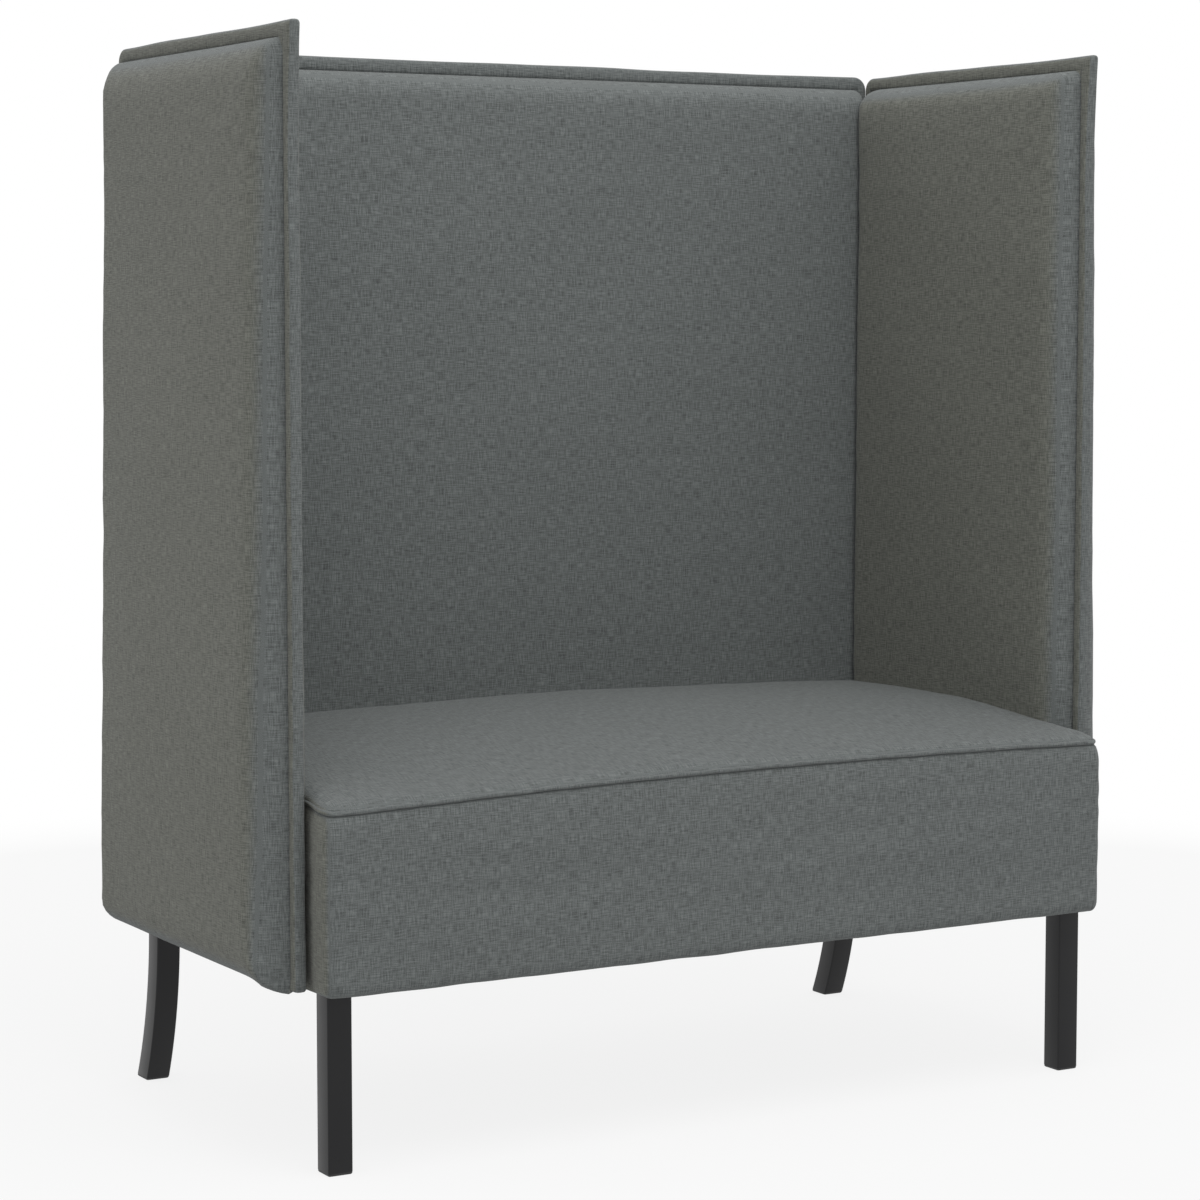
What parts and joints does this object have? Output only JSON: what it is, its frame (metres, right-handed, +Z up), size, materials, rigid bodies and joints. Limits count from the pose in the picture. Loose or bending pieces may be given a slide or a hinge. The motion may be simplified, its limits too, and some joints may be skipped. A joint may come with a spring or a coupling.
{
  "type": "high-back sofa",
  "caption": "High-back sofa: a sprung, crowned bench seat closed in on three sides by tall padded panels with flat stitched borders, on slim black legs, the rear ones swept back.",
  "frame": {"origin": "on the floor, in the middle of the sofa's outline", "axes": "+Z up, +Y to the rear, +X to the right of someone who looks at the front; the front faces -Y"},
  "size_m": [1.272, 0.63, 1.35],
  "materials": {
    "upholstery": "woven slate grey melange",
    "foam": "cut polyurethane foam",
    "felt": "needled felt",
    "dust_cloth": "black spunbond cloth",
    "beech": "planed",
    "plywood": "sanded",
    "black_lacquer": "satin black",
    "black_nylon": "moulded",
    "spring_steel": "oiled wire",
    "zinc": "zinc plated"
  },
  "bodies": {
    "root": {"back_front_cover": "upholstery", "back_front_pad": "foam", "back_panel_board": "plywood", "back_panel_border": "upholstery", "back_rear_cover": "upholstery", "back_rear_pad": "foam", "front_left_corner_block": "beech", "front_left_glide": "black_nylon", "front_left_leg": "black_lacquer", "front_left_leg_plate": "zinc", "front_rail_padding": "foam", "front_right_corner_block": "beech", "front_right_glide": "black_nylon", "front_right_leg": "black_lacquer", "front_right_leg_plate": "zinc", "left_inner_cover": "upholstery", "left_inner_pad": "foam", "left_outer_cover": "upholstery", "left_outer_pad": "foam", "left_panel_board": "plywood", "left_panel_border": "upholstery", "leg_plate_screws": "zinc", "panel_bolts": "zinc", "panel_link_screws": "zinc", "panel_spacers": "black_nylon", "panel_tee_nuts": "zinc", "rear_left_corner_block": "beech", "rear_left_glide": "black_nylon", "rear_left_leg": "black_lacquer", "rear_left_leg_plate": "zinc", "rear_right_corner_block": "beech", "rear_right_glide": "black_nylon", "rear_right_leg": "black_lacquer", "rear_right_leg_plate": "zinc", "right_inner_cover": "upholstery", "right_inner_pad": "foam", "right_outer_cover": "upholstery", "right_outer_pad": "foam", "right_panel_board": "plywood", "right_panel_border": "upholstery", "seat_boxing": "upholstery", "seat_centre_stretcher": "beech", "seat_dust_cover": "dust_cloth", "seat_foam": "foam", "seat_front_rail": "beech", "seat_left_rail": "beech", "seat_rear_rail": "beech", "seat_right_rail": "beech", "seat_spring_1": "spring_steel", "seat_spring_2": "spring_steel", "seat_spring_3": "spring_steel", "seat_spring_4": "spring_steel", "seat_spring_5": "spring_steel", "seat_spring_6": "spring_steel", "seat_top_cover": "upholstery", "seat_welt": "upholstery", "spring_clips": "zinc", "spring_insulator": "felt"}
  },
  "joints": []
}
